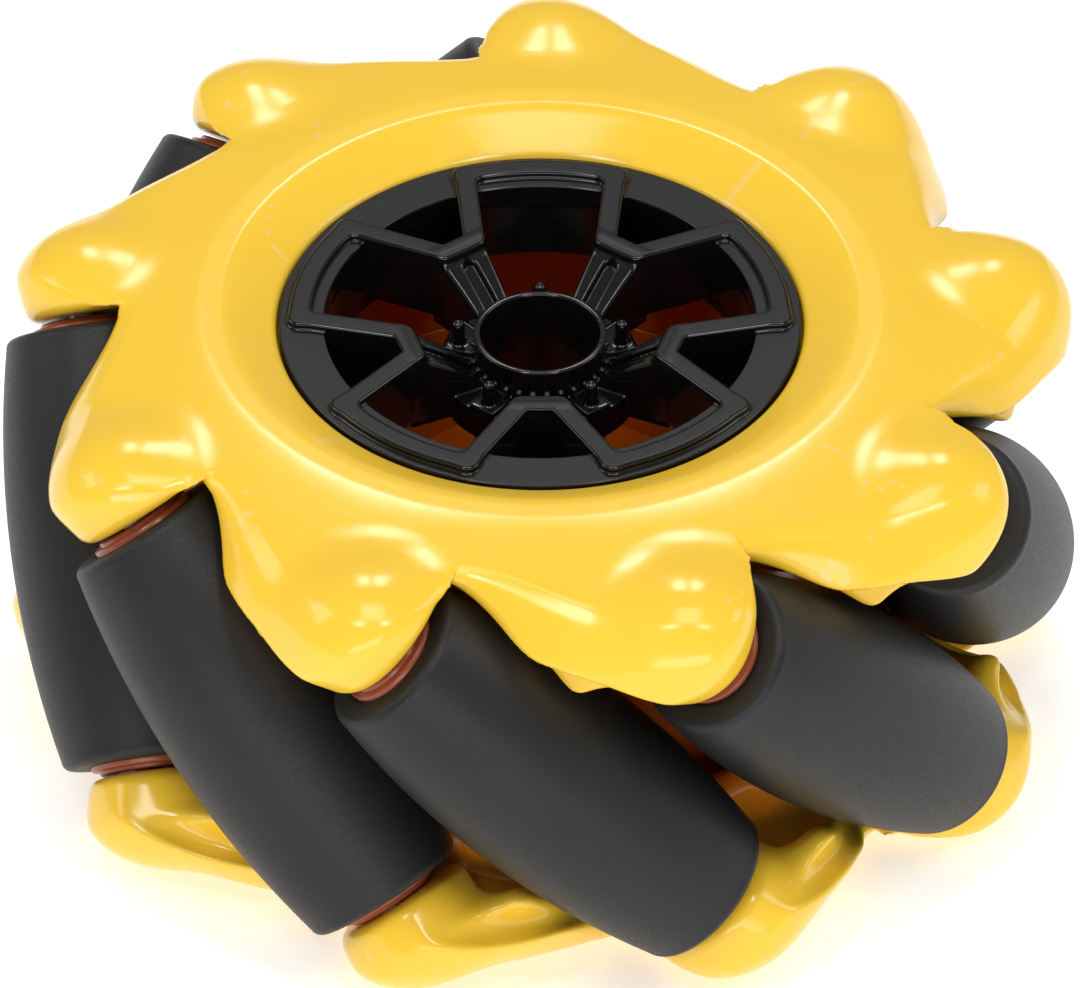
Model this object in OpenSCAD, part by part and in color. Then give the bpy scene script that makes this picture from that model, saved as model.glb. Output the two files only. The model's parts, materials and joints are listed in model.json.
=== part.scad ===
// Nine-roller mecanum wheel, lying on its back face.
// The wheel axis is +Z, the front face is up, and the origin is the centre of the back.

/* [Wheel] */
// Diameter over the rollers
wheel_d = 65; // [62:0.5:68]
// Width over the two shells
wheel_w = 30; // [29.6:0.1:31]
// Rollers around the wheel
roller_count = 9; // [9:1:9]

/* [Rollers] */
// Distance from the wheel axis to the middle of a roller
pitch_r = 26.1; // [25.8:0.1:26.4]
// Angle between a roller and the wheel axis
tilt = 45; // [43:1:47]
// Length of the rubber tread
tread_l = 26.4; // [25:0.2:27]
// Angle of the first roller around the wheel
first_roller = 31; // [0:1:39]
// Radius of the rounded edge at each end of a tread
tread_edge_r = 0.7; // [0.4:0.1:1]
// Outer radius of the plastic core under the tread
core_r = 3.2; // [2.8:0.1:3.4]
// Radius of the steel axle
axle_r = 1; // [0.8:0.1:1.2]
// Gap between a tread's end and the lobe that carries it
cheek_gap = 0.75; // [0.6:0.05:0.9]

/* [Shells] */
// Radius of the lobes around the axle ends
lobe_r = 3.9; // [3.7:0.1:4]
// Radius of the raised crest around the dish
crest_r = 19.4; // [19.2:0.1:19.8]
// Outer radius of the drum inside the rollers
drum_r = 18.8; // [18.4:0.1:19]
// Thickness of the moulded walls
wall = 2; // [1.6:0.1:2.2]
// Gap between the rollers and the shells
roller_gap = 0.6; // [0.4:0.1:0.7]

/* [Rim insert] */
// Radius of the black insert
insert_r = 15.7; // [15.6:0.05:15.8]
// Depth of the insert's face below the crest
insert_drop = 1.6; // [1.3:0.1:1.8]
// Windows around the insert
window_count = 5; // [5:1:5]
// Outside radius of the insert's centre tube
tube_r = 4; // [3.8:0.1:4.2]

/* [Shaft] */
// Radius of the motor shaft's bore
shaft_bore_r = 2.02; // [1.9:0.01:2.1]
// Width across the flats of the coupling
coupling_af = 12; // [11:0.5:12]

/* [Hidden] */
numbers = [for (i = [1 : roller_count]) i];
$fn = 96;

wheel_r = wheel_d / 2;
half_w = wheel_w / 2;
pitch_angle = 360 / roller_count;
half_tread = tread_l / 2;
// Half the distance between the two cheeks that a roller runs between
half_slot = half_tread + cheek_gap;
// The core's end flanges stand nearly to the cheeks
half_core = half_slot - 0.15;
axle_bite = 3.4;
half_axle = half_slot + axle_bite - 0.2;
running_gap = 0.05;
press_gap = 0.02;

// Heights from the wheel's middle plane
insert_z = half_w - insert_drop;
ledge_z = insert_z - 1.6;
ledge_t = 1.4;
ledge_r = insert_r - 1.1;
seat_gap = 0.15;
barrel_wall = 1.5;
barrel_r = ledge_r - seat_gap;
insert_floor_z = insert_z - 5.2;
tube_floor_z = insert_z - 9;
band_w = 1.3;
band_rise = 0.5;
band_top_z = insert_z + band_rise;
band_seat_z = insert_z - 0.9;
band_floor_z = insert_z - 4.2;
stem_w = 2.8;
pocket_floor_t = 1.2;
collar_r = 6.1;
peg_r = 5.2;
// Where a spoke's stem forks, and the half angle between its two corners
fork_r = 8.3;
fork_half = 1.1;
fork_spread = 17.5;
loop_r = insert_r * 0.92;

coupling_top_z = -4;
hub_top_z = -2;
hub_r = 10.4;
floor_z = -12;
screw_ring_r = 16.2;
screw_head_z = -9.5;
screw_tip_z = 7;
bore_top_z = -7;
set_screw_z = 5;
flange_r = 2.8;
notch_w = 1.2;
BLACK = [0.05, 0.05, 0.055];
YELLOW = [0.98, 0.72, 0.12];
RUBBER = [0.17, 0.17, 0.18];
RED_BROWN = [0.5, 0.19, 0.1];
STEEL = [0.66, 0.67, 0.69];

// Radius of a barrel at distance s from its middle, so that the rollers' outline is a true circle
function barrel_at(s, reach) =
    let (
        side = s * sin(tilt),
        lean = cos(tilt),
        slope = sqrt(pitch_r * pitch_r + side * side * lean * lean),
        across = atan2(side * lean, pitch_r),
        squash = pow(cos(across), 2) + pow(lean * sin(across), 2),
        spare = pitch_r * pitch_r + side * side - reach * reach
    )
    (sqrt(slope * slope - squash * spare) - slope) / squash;

// Sawtooth edge of a shell: it climbs slowly to each lobe and drops at the cheek
notch_r = 25.4;
lobe_reach = 31;
cheek_angle = -15.5;
crown_angle = 5;
climb_angle = 28;
function saw_r(a) =
    let (
        back = (cheek_angle - crown_angle - a) / climb_angle,
        climb = 1 - max(0, min(1, back))
    )
    notch_r + (lobe_reach - notch_r) * (3 * climb * climb - 2 * climb * climb * climb);

// Places its children in the middle plane's frame, at every roller or at one
module in_wheel() {
    translate([0, 0, half_w]) rotate([0, 0, first_roller]) children();
}

module around() {
    for (i = numbers) rotate([0, 0, (i - 1) * pitch_angle]) children();
}

// Stands its children on a roller's axis: the child's +Z points to the front end
module on_roller() {
    translate([pitch_r, 0, 0]) rotate([tilt, 0, 0]) children();
}

// A cylinder between two heights
module rod(r, low, high) {
    translate([0, 0, low]) cylinder(r = r, h = high - low);
}

// A barrel that leaves the stated room around a tread
module roller_room() {
    steps = 4;
    reach = half_slot;
    side = [for (i = [-steps : steps]) let (s = reach * i / steps)
        [barrel_at(s, wheel_r + roller_gap), s]];
    on_roller() rotate_extrude() polygon(concat([[0, -reach]], side, [[0, reach]]));
}

// One rounded lobe around the front end of an axle
module lobe() {
    round_z = half_slot + 1.8;
    on_roller() {
        rod(lobe_r, half_slot - 0.5, round_z);
        translate([0, 0, round_z]) sphere(r = lobe_r);
    }
}

// Dished ring with its sawtooth edge, and the drum inside the rollers
module ring_and_drum() {
    seat_r = insert_r + seat_gap;
    drum_top_z = half_w - 4.5;
    intersection() {
        rotate_extrude() polygon([
            [drum_r - wall, 0],
            [drum_r - wall, ledge_z - ledge_t],
            [ledge_r, ledge_z - ledge_t],
            [ledge_r, ledge_z],
            [seat_r, ledge_z],
            [seat_r, insert_z - 0.4],
            [insert_r + 1.1, insert_z + 0.7],
            [crest_r - 1.1, half_w - 0.15],
            [crest_r, half_w],
            [crest_r + 1.4, half_w - 0.1],
            [notch_r - 1.3, half_w - 0.8],
            [lobe_reach - 2.5, half_w - 2.2],
            [wheel_r, half_w - 5],
            [wheel_r, half_w - 7],
            [drum_r, drum_top_z],
            [drum_r, 0]
        ]);
        translate([0, 0, -1]) linear_extrude(height = half_w + 2)
            polygon([for (a = [0 : 2 : 358]) let (
                folded = (a + pitch_angle + cheek_angle) % pitch_angle,
                r = saw_r(cheek_angle - folded)
            ) [r * cos(-a), r * sin(-a)]]);
    }
}

// The ring, drum and lobes that both shells share
module shell_half() {
    difference() {
        union() {
            ring_and_drum();
            around() lobe();
        }
        around() roller_room();
        around() on_roller() rod(axle_r + press_gap, half_slot - 1, half_slot + axle_bite);
    }
}

module screw_places() {
    for (i = [0 : 2]) rotate([0, 0, 10 + i * 120]) translate([screw_ring_r, 0, 0]) children();
}

module front_shell() {
    color(YELLOW) in_wheel() difference() {
        union() {
            shell_half();
            screw_places() rod(2, 0.1, ledge_z - ledge_t + 0.5);
        }
        screw_places() rod(1.1, -1, screw_tip_z + 0.5);
        rod(ledge_r, insert_floor_z - 0.4, ledge_z);
    }
}

module rear_shell() {
    color(YELLOW) in_wheel() difference() {
        union() {
            rotate([180, 0, 0]) shell_half();
            screw_places() rod(2.2, floor_z + 0.3, -0.1);
            rod(drum_r - wall / 2, floor_z, floor_z + wall);
            rod(hub_r, -half_w, hub_top_z);
        }
        screw_places() rod(1.3, -half_w, 1);
        screw_places() rod(2.05, -half_w - 1, screw_head_z);
        rod(coupling_af / sqrt(3) + 0.1, -half_w - 1, coupling_top_z, $fn = 6);
        rod(1.7, -half_w, 1);
    }
}

// A bar between two points of the plan, half its width too long at each end
module stroke(from, to, width) {
    span = to - from;
    translate(from) rotate(atan2(span.y, span.x)) translate([-width / 2, -width / 2])
        square([norm(span) + width, width]);
}

function polar(r, a) = [r * cos(a), r * sin(a)];

module around_windows() {
    for (i = [0 : window_count - 1]) rotate([0, 0, i * 360 / window_count]) children();
}

// Raised band of one spoke: a stem that forks to the corners of two windows
module fork() {
    stroke([fork_r, -fork_half], [fork_r, fork_half], band_w);
    for (side = [-1, 1])
        stroke([fork_r, side * fork_half], polar(loop_r, side * fork_spread), band_w);
}

// Outer bar of one window, on the ring
module outer_bar() {
    reach = 180 / window_count - fork_spread + 2;
    intersection() {
        difference() {
            circle(r = loop_r + band_w / 2);
            circle(r = loop_r - band_w / 2);
        }
        polygon([[0, 0], polar(2 * loop_r, -reach), polar(2 * loop_r, reach)]);
    }
}

// Floor of the three-cornered pocket in a fork
module pocket_floor() {
    polygon([
        [fork_r, -fork_half],
        polar(barrel_r - 0.7, -fork_spread),
        polar(barrel_r - 0.7, fork_spread),
        [fork_r, fork_half]
    ]);
}

module rim_insert() {
    half_pitch = 180 / window_count;
    color(BLACK) in_wheel() rotate([0, 0, 90 - first_roller]) difference() {
        union() {
            difference() {
                union() {
                    rod(insert_r, ledge_z, insert_z);
                    rod(barrel_r, insert_floor_z, ledge_z + 0.1);
                }
                rod(barrel_r - barrel_wall, insert_floor_z - 1, insert_z + 1);
            }
            rod(tube_r, tube_floor_z, insert_z - 0.8);
            around_windows() {
                translate([0, 0, band_seat_z]) linear_extrude(height = band_top_z - band_seat_z)
                    outer_bar();
                rotate([0, 0, half_pitch]) {
                    translate([0, 0, band_seat_z]) linear_extrude(height = band_top_z - band_seat_z)
                        fork();
                    intersection() {
                        translate([0, 0, band_floor_z]) linear_extrude(height = 3.5) fork();
                        rod(barrel_r - 0.4, band_floor_z - 1, insert_z);
                    }
                    translate([0, 0, insert_floor_z + 0.6]) linear_extrude(height = pocket_floor_t)
                        pocket_floor();
                    translate([tube_r - 0.2, -stem_w / 2, insert_floor_z + 0.3])
                        cube([fork_r - tube_r + 0.6, stem_w, insert_z - insert_floor_z - 1.7]);
                }
                translate([peg_r, 0, 0]) rod(0.45, insert_floor_z + 1, insert_z - 1.4);
            }
            rod(collar_r, insert_floor_z, insert_z - 3.2);
        }
        rod(tube_r - 0.4, tube_floor_z - 1, insert_z + 1);
    }
}

module shaft_coupling() {
    color(STEEL) in_wheel() difference() {
        rod(coupling_af / sqrt(3), 0.2 - half_w, coupling_top_z, $fn = 6);
        rod(shaft_bore_r, -half_w - 1, bore_top_z);
        rod(1.25, -half_w, 0);
        set_screw_place() rod(1.5, 0, coupling_af);
    }
}

// Stands its children on the set screw's axis, square to one flat
module set_screw_place() {
    translate([0, 0, set_screw_z - half_w]) rotate([90, 0, 180]) children();
}

module coupling_set_screw() {
    color(STEEL) in_wheel() set_screw_place() difference() {
        rod(1.49, shaft_bore_r + 0.15, coupling_af / 2 - 0.2);
        rod(0.85, coupling_af / 2 - 1.8, coupling_af, $fn = 6);
    }
}

// A screw along +Z with its head on the plane z = 0 and a hexagon socket
module socket_screw(head_r, head_h, shank_r, length) {
    difference() {
        union() {
            rod(head_r, 0, head_h);
            rod(shank_r, -length, 0.1);
        }
        rod(head_r / 2, head_h * 0.45, head_h + 1, $fn = 6);
    }
}

module centre_screw() {
    color(STEEL) in_wheel() translate([0, 0, hub_top_z]) socket_screw(2.75, 2.2, 1.24, 4.5);
}

module shell_screws() {
    color(STEEL) in_wheel() screw_places() translate([0, 0, screw_head_z]) rotate([180, 0, 0])
        socket_screw(1.9, 1.6, 1.09, screw_tip_z - screw_head_z);
}

module roller_axle() {
    color(STEEL) on_roller() rod(axle_r, -half_axle, half_axle);
}

module roller_core() {
    color(RED_BROWN) on_roller() difference() {
        union() {
            rod(core_r, 0.6 - half_tread, half_tread - 0.6);
            rod(flange_r, -half_core, half_core);
            rod(flange_r + 0.5, -half_tread - 0.3, half_tread + 0.3);
        }
        rod(axle_r + running_gap, -half_core - 1, half_core + 1);
        for (end = [-1, 1]) flange_notch(end);
    }
}

// The notch across a core's end flange
module flange_notch(end) {
    translate([0, -notch_w / 2, end > 0 ? half_tread + 0.05 : -half_core - 1])
        cube([flange_r + 1, notch_w, half_core + 0.95 - half_tread]);
}

module roller_tread() {
    steps = 8;
    side = [for (i = [-steps : steps]) let (s = (half_tread - tread_edge_r) * i / steps)
        [barrel_at(s, wheel_r), s]];
    end_r = barrel_at(half_tread - tread_edge_r, wheel_r);
    edge = [for (a = [15 : 15 : 90])
        [end_r - tread_edge_r * (1 - cos(a)), half_tread - tread_edge_r * (1 - sin(a))]];
    lower_edge = [for (i = [len(edge) - 1 : -1 : 0]) [edge[i].x, -edge[i].y]];
    color(RUBBER) on_roller() difference() {
        rotate_extrude() polygon(concat(
            [[core_r - 1, -half_tread]], lower_edge, side, edge, [[core_r - 1, half_tread]]
        ));
        rod(core_r, 0.6 - half_tread, half_tread - 0.6);
        rod(flange_r + 0.5, -half_tread - 1, half_tread + 1);
    }
}

// Places its children at the roller with this number
module at_roller(number) {
    in_wheel() rotate([0, 0, (number - 1) * pitch_angle]) children();
}

front_shell();
rear_shell();
rim_insert();
shaft_coupling();
coupling_set_screw();
centre_screw();
shell_screws();
for (i = numbers) {
    at_roller(i) roller_axle();
    at_roller(i) roller_core();
    at_roller(i) roller_tread();
}
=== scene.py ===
"""Nine-roller mecanum wheel, lying on its back face on a pale studio floor.

The moulded pieces are grown from distance fields: a field is a function that is negative
inside a piece, and skin() wraps it in an even mesh. The fields work in millimetres, with
the wheel axis along z and z = 0 at the wheel's middle plane.
"""
import json
import math

import bpy
import numpy as np
from mathutils import Matrix, Vector


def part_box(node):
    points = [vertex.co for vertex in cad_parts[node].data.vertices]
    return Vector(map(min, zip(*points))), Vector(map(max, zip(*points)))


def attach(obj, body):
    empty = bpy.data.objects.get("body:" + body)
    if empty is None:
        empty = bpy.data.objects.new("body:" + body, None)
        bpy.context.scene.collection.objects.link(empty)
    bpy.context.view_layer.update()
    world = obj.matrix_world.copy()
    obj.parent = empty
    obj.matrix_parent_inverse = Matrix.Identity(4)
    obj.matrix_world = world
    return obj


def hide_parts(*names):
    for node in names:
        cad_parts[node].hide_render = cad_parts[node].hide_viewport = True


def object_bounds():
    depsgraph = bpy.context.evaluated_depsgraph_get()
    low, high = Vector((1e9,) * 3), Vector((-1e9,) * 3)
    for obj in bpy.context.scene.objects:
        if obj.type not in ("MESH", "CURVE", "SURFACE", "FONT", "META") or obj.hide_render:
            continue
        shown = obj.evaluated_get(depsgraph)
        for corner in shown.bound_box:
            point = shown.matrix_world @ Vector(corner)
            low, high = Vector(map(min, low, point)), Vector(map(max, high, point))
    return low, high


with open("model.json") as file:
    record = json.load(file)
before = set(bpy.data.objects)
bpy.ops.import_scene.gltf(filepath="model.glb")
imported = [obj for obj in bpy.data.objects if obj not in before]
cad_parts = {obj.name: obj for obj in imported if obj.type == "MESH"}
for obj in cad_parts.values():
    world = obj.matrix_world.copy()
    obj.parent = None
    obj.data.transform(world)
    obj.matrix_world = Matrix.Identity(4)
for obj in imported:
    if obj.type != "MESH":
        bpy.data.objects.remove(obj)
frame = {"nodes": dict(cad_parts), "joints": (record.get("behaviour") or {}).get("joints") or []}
cad_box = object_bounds()

MM = 0.001

# Sizes read from the frame, in millimetres. HALF_W is half the height of the CAD's box.
low, high = cad_box
HALF_W = (high[2] - low[2]) / 2 / MM
WHEEL_R = (high[0] - low[0]) / 2 / MM
ROLLER_JOINTS = frame["joints"]
ROLLERS = len(ROLLER_JOINTS)
first_x, first_y, _ = ROLLER_JOINTS[0]["pos_m"]
PITCH_R = math.hypot(first_x, first_y) / MM
FIRST_ANGLE = math.atan2(first_y, first_x)
TILT = math.acos(ROLLER_JOINTS[0]["axis"][2])
PITCH_ANGLE = 2 * math.pi / ROLLERS
insert_low, insert_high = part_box("rim_insert")
INSERT_R = (insert_high[0] - insert_low[0]) / 2 / MM

# Rollers
HALF_TREAD = 13.2
CHEEK_GAP = 0.75
HALF_SLOT = HALF_TREAD + CHEEK_GAP
HALF_CORE = HALF_SLOT - 0.15
TREAD_EDGE_R = 0.6
CORE_R = 3.2
FLANGE_R = 2.8
FLANGE_STEP = 0.5
NOTCH_W = 1.2
AXLE_R = 1.0
ROLLER_ROOM = 0.6
TREAD_INSET = 0.02

# Shells
SHELL_FOLD = 3
DISH_SLOPE = 0.62
DISH_ROUND = 0.9
FALL_SLOPE = 0.2
FALL_ROUND = 2.0
LOBE_FILLET = 3.6
ROOM_EDGE = 1.0
LOBE_R = 3.5
CREST_R = 19.4
NOTCH_R = 25.4
LOBE_REACH = 31.2
DRUM_R = 18.8
WALL = 2.0
CROWN_ANGLE = math.radians(9)
CLIMB_ANGLE = math.radians(30)
NOSE_START = 1.2
PLATE_T = 3.1
FIN_Z = 6.0
FIN_T = 2.2
FIN_INSET = 2.3

# Rim insert
INSERT_Z = HALF_W - 1.6
LEDGE_Z = INSERT_Z - 1.6
LEDGE_T = 1.4
LEDGE_R = INSERT_R - 1.1
SEAT_GAP = 0.15
BARREL_R = LEDGE_R - SEAT_GAP
INSERT_FLOOR_Z = INSERT_Z - 5.2
WINDOWS = 5
TUBE_R = 4.0
TUBE_WALL = 0.4
TUBE_TOP_Z = INSERT_Z - 0.85
TUBE_FLOOR_Z = INSERT_Z - 9
BAND_W = 1.3
BAND_RISE = 0.45
BAND_TOP_Z = INSERT_Z + BAND_RISE
FORK_R = 8.3
FORK_HALF = 1.1
FORK_SPREAD = math.radians(17.5)
LOOP_R = INSERT_R * 0.92
GROOVE_W = 0.84
GROOVE_DEPTH = 0.45
COLLAR_R = 6.1
PEG_R = 5.2
BEADS = 30
BEAD_R = 0.2

# Rear shell
HUB_R = 10.4
HUB_TOP_Z = -2.0
FLOOR_Z = -12.0
COUPLING_AF = 12.0
COUPLING_TOP_Z = -4.0
SCREW_RING_R = 16.2
SCREW_ANGLE = math.radians(10)
SCREW_HEAD_Z = -9.5

# Camera
ELEVATION = math.radians(38.95)
LENS = 554.0
AIM_BELOW_RIM = 0.01045


# ---------------------------------------------------------------- distance fields

def blend_min(a, b, soft):
    """The lesser of two fields, with a fillet about as wide as soft where they meet."""
    mix = np.clip(0.5 + 0.5 * (b - a) / soft, 0, 1)
    return b + (a - b) * mix - soft * mix * (1 - mix)


def blend_max(a, b, soft):
    """The greater of two fields, with a rounding about as wide as soft where they meet."""
    return -blend_min(-a, -b, soft)


def folded(x, y, count, offset=0.0):
    """Radius and angle, with the angle folded into one of count equal sectors about offset."""
    step = 2 * math.pi / count
    angle = np.arctan2(y, x) - offset
    return np.hypot(x, y), angle - step * np.round(angle / step)


def box_field(*pairs):
    """Box from (coordinate, half size) pairs."""
    gaps = [np.abs(value) - half for value, half in pairs]
    outside = np.sqrt(sum(np.maximum(gap, 0) ** 2 for gap in gaps))
    inside = gaps[0]
    for gap in gaps[1:]:
        inside = np.maximum(inside, gap)
    return outside + np.minimum(inside, 0)


def slab(value, bottom, top):
    """The space between two parallel faces."""
    return np.maximum(bottom - value, value - top)


def barrel_radius(s, reach):
    """Radius of a roller at distance s from its middle, so that the wheel's outline is a circle."""
    side = s * math.sin(TILT)
    lean = math.cos(TILT)
    slope = np.sqrt(PITCH_R ** 2 + (side * lean) ** 2)
    across = np.arctan2(side * lean, PITCH_R)
    squash = np.cos(across) ** 2 + (lean * np.sin(across)) ** 2
    spare = PITCH_R ** 2 + side ** 2 - reach ** 2
    return (np.sqrt(slope ** 2 - squash * spare) - slope) / squash


def roller_frame(x, y, z):
    """Distance along a roller's axis and out from it, for the roller on the +x side."""
    along = -math.sin(TILT) * y + math.cos(TILT) * z
    across = math.cos(TILT) * y + math.sin(TILT) * z
    return along, np.hypot(x - PITCH_R, across)


def top_height(r):
    """Height of the front face: a dish inside the crest, and a gentle fall outside it."""
    inner = np.maximum(CREST_R - r, 0)
    outer = np.maximum(r - CREST_R, 0)
    dish = DISH_SLOPE * (np.hypot(inner, DISH_ROUND) - DISH_ROUND)
    fall = FALL_SLOPE * (np.hypot(outer, FALL_ROUND) - FALL_ROUND)
    return HALF_W - dish - fall


def smooth_step(value, start, end):
    """0 before start and 1 after end, with a smooth climb between them."""
    share = np.clip((value - start) / (end - start), 0, 1)
    return share * share * (3 - 2 * share)


def web_field(r, z, behind):
    """A lobe's plate, with a thick rolled edge, and the fin that hangs under it.

    behind is the angle back from the lobe's cheek. The plate reaches furthest at CROWN_ANGLE,
    and falls back to the notch over CLIMB_ANGLE.
    """
    fall = smooth_step(behind, CROWN_ANGLE, CROWN_ANGLE + CLIMB_ANGLE)
    head = 0.5 + 0.5 * smooth_step(behind, 0, CROWN_ANGLE)
    reach = NOTCH_R + (LOBE_REACH - NOTCH_R) * head * (1 - fall)
    top = top_height(r)
    plate = blend_max((z - top) * 0.97, (r - reach) * 0.85, 3.0 - 2.2 * fall)
    plate = blend_max(plate, top - PLATE_T - z, 0.5)
    fin_low = FIN_Z + 3.4 * (1 - smooth_step(behind, CROWN_ANGLE - 0.05, CROWN_ANGLE + 0.12))
    fin_reach = reach - FIN_INSET
    fin = np.maximum(r - fin_reach, fin_reach - FIN_T - r) * 0.85
    fin = blend_max(fin, fin_low - z, 1.8)
    fin = np.maximum(fin, z - top + 1)
    return blend_min(plate, fin, 1.6)


def lobe_field(along, out):
    """Round-nosed lobe on a roller's axis, starting at its cheek."""
    nose = np.maximum(along - HALF_SLOT - NOSE_START, 0)
    return np.maximum(np.hypot(nose, out) - LOBE_R, HALF_SLOT - 3 - along)


def room_field(along, out):
    """Space for a roller to turn in, with its axle's hole."""
    tread = out - barrel_radius(np.clip(along, -HALF_SLOT, HALF_SLOT), WHEEL_R + ROLLER_ROOM)
    room = blend_max(tread, np.abs(along) - HALF_SLOT, 0.9)
    pin = np.maximum(out - AXLE_R, np.abs(along) - HALF_SLOT - 3.3)
    return np.minimum(room, pin)


def front_half(x, y, z):
    """Ring, drum and nine lobes, front side up. Both shells share it."""
    r = np.hypot(x, y)
    nearest = np.round(np.arctan2(y, x) / PITCH_ANGLE)
    cheek_y = (math.cos(TILT) * z - HALF_SLOT) / math.sin(TILT)
    cheek_angle = np.arcsin(np.clip(cheek_y / np.maximum(r, 1), -1, 1))
    body = web_field(r, z, np.full_like(r, PITCH_ANGLE))
    rooms = np.full_like(r, 99.0)
    for shift in (-1, 0, 1):
        turn = (nearest + shift) * PITCH_ANGLE
        c = np.cos(turn)
        s = np.sin(turn)
        own_x = c * x + s * y
        own_y = c * y - s * x
        along, out = roller_frame(own_x, own_y, z)
        rooms = np.minimum(rooms, room_field(along, out))
        if shift >= 0:
            web = web_field(r, z, cheek_angle - np.arctan2(own_y, own_x))
            body = np.minimum(body, np.maximum(web, HALF_SLOT - along))
            body = blend_min(body, lobe_field(along, out), LOBE_FILLET)
    body = np.minimum(body, np.maximum(r - DRUM_R, z - HALF_W + 4))
    body = np.maximum(body, z - HALF_W)
    body = blend_max(body, -rooms, ROOM_EDGE)
    seat = np.maximum(r - INSERT_R - SEAT_GAP, LEDGE_Z - z)
    throat = r - LEDGE_R
    hollow = np.maximum(r - DRUM_R + WALL, z - LEDGE_Z + LEDGE_T)
    inside = np.minimum(np.minimum(seat, throat), hollow)
    body = blend_max(body, -inside, 0.35)
    return np.maximum(body, -z)


def screw_frame(x, y):
    """Distance from the axis of the nearest shell screw."""
    r, angle = folded(x, y, SHELL_FOLD, SCREW_ANGLE)
    return np.hypot(r * np.cos(angle) - SCREW_RING_R, r * np.sin(angle))


def front_shell_field(x, y, z):
    """The front half with screw posts, cut back where the insert's barrel goes in."""
    body = front_half(x, y, z)
    screw = screw_frame(x, y)
    post = np.maximum(screw - 2.0, slab(z, 0.1, LEDGE_Z - LEDGE_T + 0.5))
    body = blend_min(body, post, 0.4)
    barrel_room = np.maximum(np.hypot(x, y) - LEDGE_R, slab(z, INSERT_FLOOR_Z - 0.4, LEDGE_Z))
    body = np.maximum(body, -barrel_room)
    return np.maximum(body, -np.maximum(screw - 1.1, z - 7.5))


def rear_shell_field(x, y, z):
    """The front half turned over, with a floor, screw posts and a hub for the coupling."""
    body = front_half(x, -y, -z)
    r = np.hypot(x, y)
    screw = screw_frame(x, y)
    post = np.maximum(screw - 2.2, slab(z, FLOOR_Z + 0.3, -0.1))
    plate = np.maximum(r - DRUM_R + WALL / 2, slab(z, FLOOR_Z, FLOOR_Z + WALL))
    hub = np.maximum(r - HUB_R, slab(z, -HALF_W, HUB_TOP_Z))
    body = blend_min(body, post, 0.4)
    body = blend_min(body, plate, 0.6)
    body = blend_min(body, hub, 0.8)
    hole = np.maximum(screw - 1.3, z - 1)
    recess = np.maximum(screw - 2.05, z - SCREW_HEAD_Z)
    hex_r, hex_a = folded(x, y, 6, math.pi / 6)
    pocket = np.maximum(hex_r * np.cos(hex_a) - COUPLING_AF / 2 - 0.09, z - COUPLING_TOP_Z)
    centre = r - 1.7
    for cut in (hole, recess, pocket, centre):
        body = blend_max(body, -cut, 0.3)
    return body


def bar_field(u, v, start, end, half):
    """Plan distance to a bar of half width half between two points."""
    along = np.array(end) - np.array(start)
    span = float(np.hypot(*along))
    along = along / span
    du = u - start[0]
    dv = v - start[1]
    t = np.clip(du * along[0] + dv * along[1], 0, span)
    return np.hypot(du - t * along[0], dv - t * along[1]) - half


def insert_rim(r, z):
    """Flat ring on the ledge, and the barrel below it."""
    ring = np.maximum(slab(r, INSERT_R - 2.7, INSERT_R), slab(z, LEDGE_Z, INSERT_Z))
    barrel = np.maximum(slab(r, BARREL_R - 1.5, BARREL_R), slab(z, INSERT_FLOOR_Z, LEDGE_Z + 0.4))
    return np.minimum(ring, barrel)


def insert_band(r, z, u, v, window_a):
    """Raised band that loops round each window, on a skirt that reaches down to the floor."""
    corner = (LOOP_R * math.cos(FORK_SPREAD), LOOP_R * math.sin(FORK_SPREAD))
    arm = bar_field(u, v, (FORK_R, FORK_HALF), corner, BAND_W / 2)
    reach = math.pi / WINDOWS - FORK_SPREAD
    outer = np.hypot(r - LOOP_R, np.maximum(np.abs(window_a) - reach, 0) * LOOP_R) - BAND_W / 2
    elbow = bar_field(u, v, (FORK_R, 0.0), (FORK_R, FORK_HALF), BAND_W / 2)
    band_plan = blend_min(np.minimum(arm, elbow), outer, 0.5)
    band = blend_max(band_plan, slab(z, INSERT_Z - 0.9, BAND_TOP_Z), 0.18)
    skirt = np.maximum(np.minimum(arm, elbow), slab(z, INSERT_FLOOR_Z + 1, INSERT_Z))
    skirt = np.maximum(skirt, r - BARREL_R + 0.4)
    return np.minimum(band, skirt)


def insert_pocket(r, z, u, v):
    """Thin floor of the pocket between a fork's two arms."""
    pocket = np.maximum(slab(z, INSERT_FLOOR_Z + 0.6, INSERT_FLOOR_Z + 1.8), r - BARREL_R + 0.5)
    fan = (v - FORK_HALF) * math.cos(FORK_SPREAD) - (u - FORK_R) * math.sin(FORK_SPREAD) * 0.85
    return np.maximum(np.maximum(pocket, fan), FORK_R - u)


def insert_stem(z, u, v):
    """Stem that slopes from the tube up to the fork, with a groove along its top."""
    slope = np.clip((u - TUBE_R) / (FORK_R - TUBE_R), 0, 1)
    stem_top = TUBE_TOP_Z - 2.2 + (BAND_TOP_Z - TUBE_TOP_Z + 2.0) * slope ** 0.8
    stem_half = 1.15 + 0.55 * slope
    stem = np.maximum(v - stem_half, slab(u, TUBE_R - 0.3, FORK_R + 0.4))
    stem = blend_max(stem, (z - stem_top) * 0.8, 0.3)
    stem = np.maximum(stem, INSERT_FLOOR_Z + 0.3 - z)
    groove = bar_field(u, v, (TUBE_R + 0.4, 0.0), (FORK_R - 1.2, 0.0), GROOVE_W / 2)
    groove = np.maximum(groove, stem_top - GROOVE_DEPTH - z)
    return blend_max(stem, -groove, 0.2)


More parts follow.
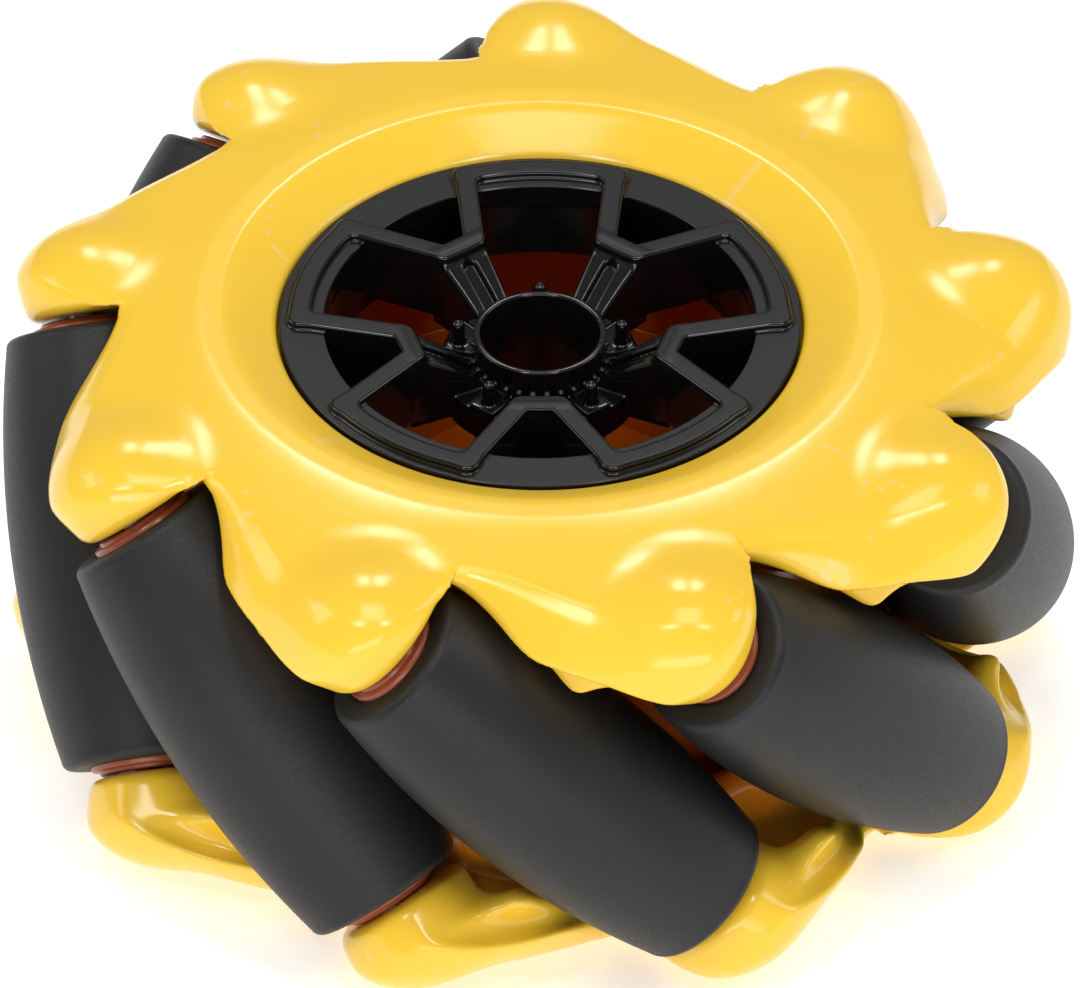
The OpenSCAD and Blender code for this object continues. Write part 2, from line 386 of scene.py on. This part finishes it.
def insert_bead(x, y, z):
    """Ring of small beads round the tube."""
    r, angle = folded(x, y, BEADS)
    height = z - TUBE_TOP_Z + 1.7
    return np.sqrt((r - TUBE_R - 0.1) ** 2 + (r * np.sin(angle)) ** 2 + height ** 2) - BEAD_R


def insert_peg(z, wu, wv):
    """Round-tipped peg on a small shelf, in the middle of each window's inner end."""
    peg_out = np.hypot(wu - PEG_R, wv)
    peg_tip = INSERT_Z - 1.75
    peg = np.hypot(peg_out, np.maximum(z - peg_tip, 0)) - 0.42
    shelf = box_field((wu - PEG_R + 0.4, 1.1), (wv, 0.75), (z - INSERT_Z + 3.6, 0.55)) - 0.1
    peg = np.maximum(peg, INSERT_FLOOR_Z + 0.8 - z)
    return blend_min(shelf, peg, 0.2)


def rim_insert_field(x, y, z):
    """Spoked cap. u and v run along and across the nearest spoke, wu and wv the nearest window."""
    r, window_a = folded(x, y, WINDOWS, math.pi / 2)
    _, spoke_a = folded(x, y, WINDOWS, -math.pi / 2)
    u = r * np.cos(spoke_a)
    v = np.abs(r * np.sin(spoke_a))
    wu = r * np.cos(window_a)
    wv = r * np.sin(window_a)
    collar = np.maximum(r - COLLAR_R, slab(z, INSERT_FLOOR_Z, INSERT_Z - 3.3))
    tube = np.maximum(r - TUBE_R, slab(z, TUBE_FLOOR_Z, TUBE_TOP_Z))
    tube = blend_max(tube, z - TUBE_TOP_Z, 0.15)
    body = blend_min(insert_rim(r, z), insert_band(r, z, u, v, window_a), 0.12)
    body = np.minimum(body, insert_pocket(r, z, u, v))
    body = blend_min(body, insert_stem(z, u, v), 0.35)
    body = blend_min(body, collar, 0.25)
    body = blend_min(body, tube, 0.3)
    body = blend_min(body, insert_bead(x, y, z), 0.12)
    body = blend_min(body, insert_peg(z, wu, wv), 0.15)
    return blend_max(body, TUBE_R - TUBE_WALL - r, 0.12)


# ---------------------------------------------------------------- meshes

CELL_CORNERS = [(i, j, k) for i in (0, 1) for j in (0, 1) for k in (0, 1)]


def spin_matrix(angle):
    """Turn by angle about the wheel's axis."""
    c = math.cos(angle)
    s = math.sin(angle)
    return np.array([[c, -s, 0], [s, c, 0], [0, 0, 1]])


def gradient(field, points):
    """The field's slope at each point."""
    step = 0.01
    result = np.empty_like(points)
    for axis in range(3):
        offset = np.zeros(3)
        offset[axis] = step
        ahead = field(*(points + offset).T)
        behind = field(*(points - offset).T)
        result[:, axis] = (ahead - behind) / (2 * step)
    return result


def settle(field, points, passes=2):
    """Moves the points onto the field's zero surface, by a limited step in each pass."""
    longest = 0.2
    for _ in range(passes):
        slope = gradient(field, points)
        value = field(*points.T)
        size = np.maximum((slope ** 2).sum(axis=1), 0.05)
        move = -(value / size)[:, None] * slope
        length = np.linalg.norm(move, axis=1, keepdims=True)
        points = points + move * np.minimum(1, longest / np.maximum(length, 1e-9))
    return points


def relaxed(points, quads):
    """Points moved halfway to the mean of the corners of the faces round them."""
    corners = quads.ravel()
    centres = np.repeat(points[quads].mean(axis=1), 4, axis=0)
    count = np.bincount(corners, minlength=len(points))
    mean = [np.bincount(corners, centres[:, axis], len(points)) / count for axis in range(3)]
    return (points + np.stack(mean, 1)) / 2


def mixed_cells(inside, shape):
    """Cells of the grid with corners both inside and outside the piece, and a number for each."""
    count = np.zeros(shape, dtype=int)
    for i, j, k in CELL_CORNERS:
        count += inside[i:i + shape[0], j:j + shape[1], k:k + shape[2]]
    cells = np.argwhere((count > 0) & (count < len(CELL_CORNERS)))
    number = np.full(shape, -1)
    number[tuple(cells.T)] = np.arange(len(cells))
    return cells, number


def cell_centres(values, cells):
    """For each cell, the mean of the places where its edges cross the surface, in grid steps."""
    total = np.zeros((len(cells), 3))
    hits = np.zeros(len(cells))
    for axis in range(3):
        for corner in CELL_CORNERS:
            if corner[axis]:
                continue
            start = cells + corner
            end = start.copy()
            end[:, axis] += 1
            va = values[tuple(start.T)]
            vb = values[tuple(end.T)]
            crossed = (va < 0) != (vb < 0)
            share = np.where(crossed, va / np.where(crossed, va - vb, 1), 0)
            place = start.astype(float)
            place[:, axis] += share
            total += place * crossed[:, None]
            hits += crossed
    return total / hits[:, None]


def sector_quads(inside, number):
    """A face round every grid edge that crosses the surface: corners as (cell number, sector)."""
    shape = number.shape
    steps = shape[1]
    quads = []
    for axis in range(3):
        near = [slice(0, shape[0] + 1), slice(0, steps), slice(0, shape[2] + 1)]
        near[axis] = slice(0, shape[axis])
        far = list(near)
        far[axis] = slice(1, shape[axis] + 1)
        edges = np.argwhere(inside[tuple(near)] != inside[tuple(far)])
        one, two = [other for other in range(3) if other != axis]
        keep = np.ones(len(edges), dtype=bool)
        for other in (one, two):
            if other != 1:
                keep &= (edges[:, other] > 0) & (edges[:, other] < shape[other])
        edges = edges[keep]
        loop = []
        for back in ((1, 1), (0, 1), (0, 0), (1, 0)):
            cell_at = edges.copy()
            cell_at[:, one] -= back[0]
            cell_at[:, two] -= back[1]
            sector = np.floor_divide(cell_at[:, 1], steps)
            cell_at[:, 1] -= sector * steps
            loop.append(np.stack([number[tuple(cell_at.T)], sector], 1))
        loop = np.stack(loop, 1)
        outward = inside[tuple(edges.T)] ^ (axis == 1)
        loop[~outward] = loop[~outward][:, ::-1]
        quads.append(loop)
    return np.concatenate(quads)


def repeated(points, quads, fold):
    """The sector's mesh repeated fold times around the wheel."""
    all_points = []
    all_quads = []
    for copy in range(fold):
        all_points.append(points @ spin_matrix(copy * 2 * math.pi / fold).T)
        sector = (quads[:, :, 1] + copy) % fold
        all_quads.append(quads[:, :, 0] + sector * len(points))
    return np.concatenate(all_points), np.concatenate(all_quads)


def skin(field, fold, radii, heights, cell):
    """Even quad mesh of a field that repeats fold times about the axis: (points, quads).

    One sector is sampled on a grid of rings, and its mesh is repeated around the wheel.
    """
    turn = 2 * math.pi / fold
    steps = int(round(turn * radii[1] / cell))
    r = np.arange(radii[0], radii[1] + cell, cell)
    a = np.arange(steps) * turn / steps
    h = np.arange(heights[0], heights[1] + cell, cell)
    rr, aa, hh = np.meshgrid(r, a, h, indexing="ij")
    values = field(rr * np.cos(aa), rr * np.sin(aa), hh)
    values = np.concatenate([values, values[:, :1]], axis=1)
    inside = values < 0

    cells, number = mixed_cells(inside, (len(r) - 1, steps, len(h) - 1))
    place = cell_centres(values, cells)
    ring = radii[0] + place[:, 0] * cell
    around = place[:, 1] * turn / steps
    rise = heights[0] + place[:, 2] * cell
    points = np.stack([ring * np.cos(around), ring * np.sin(around), rise], 1)

    points, quads = repeated(points, sector_quads(inside, number), fold)
    for _ in range(2):
        points = settle(field, relaxed(points, quads))
    points[:, 2] = np.clip(points[:, 2], -HALF_W, HALF_W)
    return points, quads


def add_piece(name, points, quads, material, body, *nodes):
    """Makes an object from points in metres and faces of four corners, and puts it on its body."""
    mesh = bpy.data.meshes.new(name)
    mesh.vertices.add(len(points))
    mesh.vertices.foreach_set("co", np.ascontiguousarray(points, dtype=np.float32).ravel())
    mesh.loops.add(quads.size)
    mesh.loops.foreach_set("vertex_index", np.ascontiguousarray(quads, dtype=np.int32).ravel())
    mesh.polygons.add(len(quads))
    mesh.polygons.foreach_set("loop_start", np.arange(0, quads.size, 4, dtype=np.int32))
    mesh.update(calc_edges=True)
    mesh.validate()
    mesh.polygons.foreach_set("use_smooth", np.ones(len(mesh.polygons), dtype=bool))
    mesh.materials.append(material)
    piece = bpy.data.objects.new(name, mesh)
    bpy.context.scene.collection.objects.link(piece)
    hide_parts(*nodes)
    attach(piece, body)
    return piece


def in_place(points):
    """From the fields' millimetres to the frame's metres, turned to the first roller."""
    return upright(points @ spin_matrix(FIRST_ANGLE).T)


def upright(points):
    """From the fields' millimetres to the frame's metres, without a turn."""
    return (points + np.array([0, 0, HALF_W])) * MM


def turned_profile(profile, steps, radius_at=None):
    """Closed surface of revolution about z: profile is a loop of (radius, height) points."""
    angles = np.arange(steps) * 2 * math.pi / steps
    profile = np.array(profile)
    radius = np.repeat(profile[:, 0][None], steps, 0)
    if radius_at is not None:
        radius = radius_at(angles[:, None], profile[:, 0][None], profile[:, 1][None])
    x = radius * np.cos(angles)[:, None]
    y = radius * np.sin(angles)[:, None]
    z = np.repeat(profile[:, 1][None], steps, 0)
    points = np.stack([x, y, z], 2).reshape(-1, 3)
    count = len(profile)
    i, j = np.meshgrid(np.arange(steps), np.arange(count), indexing="ij")
    ni = (i + 1) % steps
    nj = (j + 1) % count
    quads = np.stack([i * count + j, ni * count + j, ni * count + nj, i * count + nj], 2)
    return points, quads.reshape(-1, 4)


# ---------------------------------------------------------------- materials

def new_material(name):
    """A new material with its nodes, links and main shader."""
    material = bpy.data.materials.new(name)
    material.use_nodes = True
    nodes = material.node_tree.nodes
    shader = nodes["Principled BSDF"]
    return material, nodes, material.node_tree.links, shader


def noise(nodes, links, scale, detail=4.0):
    """Noise fixed to the object, with scale cells to the metre."""
    place = nodes.new("ShaderNodeTexCoord")
    texture = nodes.new("ShaderNodeTexNoise")
    texture.inputs["Scale"].default_value = scale
    texture.inputs["Detail"].default_value = detail
    texture.inputs["Roughness"].default_value = 0.55
    links.new(place.outputs["Object"], texture.inputs["Vector"])
    return texture


def ramp(nodes, links, source, stops):
    """Colour ramp over source: stops are (position, colour)."""
    node = nodes.new("ShaderNodeValToRGB")
    while len(node.color_ramp.elements) < len(stops):
        node.color_ramp.elements.new(0.5)
    for element, (position, colour) in zip(node.color_ramp.elements, stops):
        element.position = position
        element.color = (*colour, 1)
    links.new(source, node.inputs["Fac"])
    return node


def spread(nodes, links, source, low_value, high_value):
    """Maps 0.3 to 0.7 of source to a range."""
    node = nodes.new("ShaderNodeMapRange")
    node.inputs["From Min"].default_value = 0.3
    node.inputs["From Max"].default_value = 0.7
    node.inputs["To Min"].default_value = low_value
    node.inputs["To Max"].default_value = high_value
    links.new(source, node.inputs["Value"])
    return node


def bump(nodes, links, source, shader, distance):
    """Raises the shader's surface by source, up to distance in metres."""
    node = nodes.new("ShaderNodeBump")
    node.inputs["Distance"].default_value = distance
    node.inputs["Strength"].default_value = 1.0
    links.new(source, node.inputs["Height"])
    links.new(node.outputs["Normal"], shader.inputs["Normal"])


def maths(nodes, links, operation, *values):
    """Result of a maths node over numbers or other nodes' outputs."""
    node = nodes.new("ShaderNodeMath")
    node.operation = operation
    for socket, value in zip(node.inputs, values):
        if isinstance(value, (int, float)):
            socket.default_value = value
        else:
            links.new(value, socket)
    return node.outputs["Value"]


def fade(nodes, links, value, start, end):
    """1 where value is at start, falling to 0 at end."""
    node = nodes.new("ShaderNodeMapRange")
    node.interpolation_type = "SMOOTHSTEP"
    node.inputs["From Min"].default_value = start
    node.inputs["From Max"].default_value = end
    node.inputs["To Min"].default_value = 1
    node.inputs["To Max"].default_value = 0
    links.new(value, node.inputs["Value"])
    return node.outputs["Result"]


def painted_bounce_shade_mask(nodes, links):
    """1 deep inside the wheel, where the base colour gets painted shade: the dark red that light
    bouncing between the yellow walls would give.
    """
    place = nodes.new("ShaderNodeTexCoord")
    axes = nodes.new("ShaderNodeSeparateXYZ")
    links.new(place.outputs["Object"], axes.inputs["Vector"])
    flat = nodes.new("ShaderNodeCombineXYZ")
    links.new(axes.outputs["X"], flat.inputs["X"])
    links.new(axes.outputs["Y"], flat.inputs["Y"])
    radius = nodes.new("ShaderNodeVectorMath")
    radius.operation = "LENGTH"
    links.new(flat.outputs["Vector"], radius.inputs[0])
    height = maths(nodes, links, "SUBTRACT", axes.outputs["Z"], HALF_W * MM)
    height = maths(nodes, links, "ABSOLUTE", height)
    near_axis = fade(nodes, links, radius.outputs["Value"], 0.0215, 0.0265)
    near_middle = fade(nodes, links, height, 0.0085, 0.0125)
    return maths(nodes, links, "MULTIPLY", near_axis, near_middle)


def yellow_plastic():
    material, nodes, links, shader = new_material("yellow_plastic")
    cloud = noise(nodes, links, 60)
    stops = [(0.3, (0.95, 0.585, 0.038)), (0.7, (0.96, 0.615, 0.046))]
    tint = ramp(nodes, links, cloud.outputs["Fac"], stops)
    # Painted shade: deep inside the wheel the base colour is mixed toward dark red, standing in for
    # light bounced between the yellow walls.
    shade = nodes.new("ShaderNodeMix")
    shade.data_type = "RGBA"
    links.new(painted_bounce_shade_mask(nodes, links), shade.inputs["Factor"])
    links.new(tint.outputs["Color"], shade.inputs["A"])
    shade.inputs["B"].default_value = (0.72, 0.13, 0.004, 1)
    # Painted highlight: the base colour is paler on sharp convex edges, as if light shone through the
    # plastic where it narrows to an edge.
    edge = nodes.new("ShaderNodeNewGeometry")
    painted_edge_light = fade(nodes, links, edge.outputs["Pointiness"], 0.62, 0.55)
    pale = nodes.new("ShaderNodeMix")
    pale.data_type = "RGBA"
    links.new(maths(nodes, links, "MULTIPLY", painted_edge_light, 0.55), pale.inputs["Factor"])
    links.new(shade.outputs["Result"], pale.inputs["A"])
    pale.inputs["B"].default_value = (0.93, 0.62, 0.2, 1)
    links.new(pale.outputs["Result"], shader.inputs["Base Color"])
    grain = noise(nodes, links, 900, 3)
    rough = spread(nodes, links, grain.outputs["Fac"], 0.15, 0.21)
    links.new(rough.outputs["Result"], shader.inputs["Roughness"])
    ripple = noise(nodes, links, 260, 2)
    bump(nodes, links, ripple.outputs["Fac"], shader, 0.00002)
    return material


def flat_top_mask(nodes, links):
    """1 on the insert's flat upward faces at the front, which are moulded satin."""
    place = nodes.new("ShaderNodeTexCoord")
    facing = nodes.new("ShaderNodeSeparateXYZ")
    links.new(place.outputs["Normal"], facing.inputs["Vector"])
    axes = nodes.new("ShaderNodeSeparateXYZ")
    links.new(place.outputs["Object"], axes.inputs["Vector"])
    front = (HALF_W + INSERT_Z) * MM
    not_up = fade(nodes, links, facing.outputs["Z"], 0.86, 0.97)
    not_front = fade(nodes, links, axes.outputs["Z"], front - 0.0004, front - 0.0001)
    hidden = maths(nodes, links, "MAXIMUM", not_up, not_front)
    return maths(nodes, links, "SUBTRACT", 1.0, hidden)


def black_plastic():
    material, nodes, links, shader = new_material("black_plastic")
    satin = flat_top_mask(nodes, links)
    tint = ramp(nodes, links, satin, [(0.0, (0.004, 0.004, 0.005)), (1.0, (0.006, 0.006, 0.0065))])
    links.new(tint.outputs["Color"], shader.inputs["Base Color"])
    grain = noise(nodes, links, 3500, 3)
    gloss = spread(nodes, links, grain.outputs["Fac"], 0.06, 0.12)
    lift = maths(nodes, links, "MULTIPLY", satin, 0.22)
    rough = maths(nodes, links, "ADD", gloss.outputs["Result"], lift)
    links.new(rough, shader.inputs["Roughness"])
    shine = maths(nodes, links, "MULTIPLY_ADD", satin, -0.3, 0.5)
    links.new(shine, shader.inputs["Specular IOR Level"])
    bump(nodes, links, grain.outputs["Fac"], shader, 0.000004)
    return material


def rubber():
    material, nodes, links, shader = new_material("tread_rubber")
    cloud = noise(nodes, links, 120)
    stops = [(0.3, (0.009, 0.009, 0.0095)), (0.7, (0.013, 0.013, 0.0135))]
    tint = ramp(nodes, links, cloud.outputs["Fac"], stops)
    links.new(tint.outputs["Color"], shader.inputs["Base Color"])
    grain = noise(nodes, links, 5500, 3)
    shader.inputs["Specular IOR Level"].default_value = 0.36
    rough = spread(nodes, links, grain.outputs["Fac"], 0.42, 0.56)
    links.new(rough.outputs["Result"], shader.inputs["Roughness"])
    bump(nodes, links, grain.outputs["Fac"], shader, 0.000012)
    return material


def red_brown_plastic():
    material, nodes, links, shader = new_material("red_brown_plastic")
    cloud = noise(nodes, links, 400)
    stops = [(0.3, (0.27, 0.055, 0.02)), (0.7, (0.33, 0.075, 0.03))]
    tint = ramp(nodes, links, cloud.outputs["Fac"], stops)
    links.new(tint.outputs["Color"], shader.inputs["Base Color"])
    rough = spread(nodes, links, cloud.outputs["Fac"], 0.2, 0.32)
    links.new(rough.outputs["Result"], shader.inputs["Roughness"])
    return material


def steel(name, colour, rough_low, rough_high):
    material, nodes, links, shader = new_material(name)
    shader.inputs["Metallic"].default_value = 1.0
    cloud = noise(nodes, links, 700)
    bright = tuple(c * 1.12 for c in colour)
    tint = ramp(nodes, links, cloud.outputs["Fac"], [(0.3, colour), (0.7, bright)])
    links.new(tint.outputs["Color"], shader.inputs["Base Color"])
    rough = spread(nodes, links, cloud.outputs["Fac"], rough_low, rough_high)
    links.new(rough.outputs["Result"], shader.inputs["Roughness"])
    return material


# ---------------------------------------------------------------- pieces

def make_shells(material):
    cell = 0.2
    heights = (-0.6, HALF_W + 0.7)
    points, quads = skin(front_shell_field, SHELL_FOLD, (12.5, WHEEL_R + 0.5), heights, cell)
    piece = add_piece("front_shell_skin", in_place(points), quads, material, "hub", "front_shell")
    heights = (-HALF_W - 0.7, 0.6)
    points, quads = skin(rear_shell_field, SHELL_FOLD, (0.9, WHEEL_R + 0.5), heights, cell)
    piece = add_piece("rear_shell_skin", in_place(points), quads, material, "hub", "rear_shell")


def make_insert(material):
    heights = (TUBE_FLOOR_Z - 0.5, INSERT_Z + 0.9)
    points, quads = skin(rim_insert_field, WINDOWS, (3.2, INSERT_R + 0.4), heights, 0.12)
    piece = add_piece("rim_insert_skin", upright(points), quads, material, "hub", "rim_insert")


def tread_profile():
    """Loop round a tread's section: the barrel, rounded edges, and the bore on the core."""
    edge_s = HALF_TREAD - TREAD_EDGE_R
    barrel = [(barrel_radius(s, WHEEL_R - TREAD_INSET), s) for s in np.linspace(-edge_s, edge_s, 45)]
    edge_r = barrel[-1][0] - TREAD_EDGE_R
    arc = [(edge_r + TREAD_EDGE_R * math.cos(t), edge_s + TREAD_EDGE_R * math.sin(t))
           for t in np.linspace(0.2, math.pi / 2, 8)]
    face = [(r, HALF_TREAD) for r in (3.6, FLANGE_R + FLANGE_STEP + 0.02)]
    bore = [(CORE_R + 0.1, HALF_TREAD - 0.7), (CORE_R + 0.1, 0.0)]
    upper = arc + face + bore
    lower = [(r, -s) for r, s in reversed(upper[:-1])]
    return barrel + upper + lower


def core_profile():
    """Loop round a core's section: the sleeve, a stepped flange at each end, and the bore."""
    step_r = FLANGE_R + FLANGE_STEP
    step_s = HALF_TREAD + 0.3
    sleeve = [(CORE_R, 0.0), (CORE_R, HALF_TREAD - 0.6)]
    step = [(step_r, HALF_TREAD - 0.5), (step_r, step_s - 0.08), (step_r - 0.08, step_s)]
    corner = [(FLANGE_R + 0.06, step_s), (FLANGE_R, step_s + 0.06)]
    flange = [(FLANGE_R, HALF_CORE - 0.1), (FLANGE_R - 0.1, HALF_CORE)]
    bore = [(AXLE_R + 0.15, HALF_CORE), (AXLE_R + 0.05, HALF_CORE - 0.1)]
    upper = sleeve + step + corner + flange + bore
    lower = [(r, -s) for r, s in reversed(upper[1:])]
    return upper + lower


def notched(angle, radius, height):
    """Core radius with a notch cut into each end flange."""
    half = NOTCH_W / 2 / FLANGE_R
    fold = np.abs(angle - math.pi * 1.5)
    in_notch = (fold < half) & (np.abs(height) > HALF_TREAD + 0.05) & (radius > AXLE_R + 0.5)
    return np.where(in_notch, np.minimum(radius, FLANGE_R - 0.9), radius)


def make_rollers(tread_material, core_material):
    tread_points, tread_quads = turned_profile(tread_profile(), 128)
    core_points, core_quads = turned_profile(core_profile(), 128, notched)
    for index, joint in enumerate(ROLLER_JOINTS):
        place = Matrix.Translation(Vector(joint["pos_m"]))
        turn = Vector(joint["axis"]).to_track_quat("Z", "Y").to_matrix().to_4x4()
        move = np.array(place @ turn)
        for kind, points, quads, material, slot in (
            ("tread", tread_points, tread_quads, tread_material, "tread_rubber"),
            ("core", core_points, core_quads, core_material, "red_brown_plastic"),
        ):
            placed = points * MM @ move[:3, :3].T + move[:3, 3]
            name = f"roller_{kind}_{index + 1}"
            piece = add_piece(f"{name}_skin", placed, quads, material, joint["child"], name)


def dress(node, material):
    """Gives a CAD node its material. Its shape stays as the CAD made it."""
    piece = frame["nodes"][node]
    piece.data.materials.clear()
    piece.data.materials.append(material)


# ---------------------------------------------------------------- stage

def add_softbox(name, azimuth, elevation, size, power):
    """Area light facing the wheel. Azimuth 0 is the camera's side and 90 is its right."""
    distance = 0.7
    lamp = bpy.data.lights.new(name, "AREA")
    lamp.shape = "RECTANGLE"
    lamp.size, lamp.size_y = size
    lamp.energy = power
    side = math.radians(azimuth)
    rise = math.radians(elevation)
    toward = Vector((math.sin(side) * math.cos(rise), -math.cos(side) * math.cos(rise), math.sin(rise)))
    item = bpy.data.objects.new(name, lamp)
    item.location = toward * distance + Vector((0, 0, HALF_W * MM))
    item.rotation_euler = toward.to_track_quat("Z", "Y").to_euler()
    bpy.context.scene.collection.objects.link(item)


def add_lights():
    """Soft boxes on both sides of the wheel, one overhead and one low in front."""
    for side in (-1, 1):
        add_softbox("back", 180 - side * 8, 49, (0.08, 0.13), 0.36)
        add_softbox("front", side * 36, 62, (0.09, 0.22), 0.75)
        add_softbox("side", side * 95, 35, (0.3, 0.3), 0.75)
    add_softbox("overhead", 0, 88, (0.25, 0.25), 0.75)
    add_softbox("low_fill", 0, 12, (0.7, 0.2), 1.6)


def floor_paper():
    """Matt white that glows a little, so that the shadows stay pale."""
    material, _, _, shader = new_material("floor_paper")
    shader.inputs["Base Color"].default_value = (0.88, 0.88, 0.88, 1)
    shader.inputs["Roughness"].default_value = 0.9
    shader.inputs["Specular IOR Level"].default_value = 0.1
    shader.inputs["Emission Color"].default_value = (1, 1, 1, 1)
    shader.inputs["Emission Strength"].default_value = 0.45
    return material


def make_floor():
    half = 3.0
    gap = 0.0001
    floor = bpy.data.meshes.new("floor")
    corners = [(-half, -half, 0), (half, -half, 0), (half, half, 0), (-half, half, 0)]
    floor.from_pydata(corners, [], [(0, 1, 2, 3)])
    floor.materials.append(floor_paper())
    item = bpy.data.objects.new("floor", floor)
    item.location.z = low[2] - gap
    bpy.context.scene.collection.objects.link(item)


def make_world():
    world = bpy.data.worlds.new("studio")
    world.use_nodes = True
    sky = world.node_tree.nodes["Background"]
    sky.inputs["Color"].default_value = (1, 1, 1, 1)
    sky.inputs["Strength"].default_value = 0.3
    bpy.context.scene.world = world


def make_camera():
    """A long lens 1 m from the rim insert's centre, so that the wheel fills the picture's width."""
    camera = bpy.data.cameras.new("camera")
    camera.sensor_fit = "HORIZONTAL"
    camera.sensor_width = 36
    camera.lens = LENS
    camera.clip_end = 20
    item = bpy.data.objects.new("camera", camera)
    bpy.context.scene.collection.objects.link(item)
    distance = 1.0
    rim_centre = Vector((0, 0, (HALF_W + INSERT_Z) * MM))
    back = Vector((0, -math.cos(ELEVATION), math.sin(ELEVATION)))
    rise = Vector((0, math.sin(ELEVATION), math.cos(ELEVATION)))
    item.location = rim_centre + back * distance
    target = rim_centre - rise * AIM_BELOW_RIM
    item.rotation_euler = (target - item.location).to_track_quat("-Z", "Y").to_euler()
    bpy.context.scene.camera = item


def build():
    yellow = yellow_plastic()
    make_shells(yellow)
    make_insert(black_plastic())
    make_rollers(rubber(), red_brown_plastic())
    axle_steel = steel("axle_steel", (0.55, 0.55, 0.57), 0.2, 0.32)
    screw_steel = steel("screw_steel", (0.42, 0.42, 0.44), 0.25, 0.4)
    coupling_metal = steel("coupling_metal", (0.6, 0.61, 0.63), 0.3, 0.42)
    for index in range(ROLLERS):
        dress(f"roller_axle_{index + 1}", axle_steel)
    for node in ("coupling_set_screw", "centre_screw", "shell_screws"):
        dress(node, screw_steel)
    dress("shaft_coupling", coupling_metal)
    make_floor()
    make_world()
    add_lights()
    make_camera()
    bpy.context.scene.view_settings.view_transform = "Standard"


build()
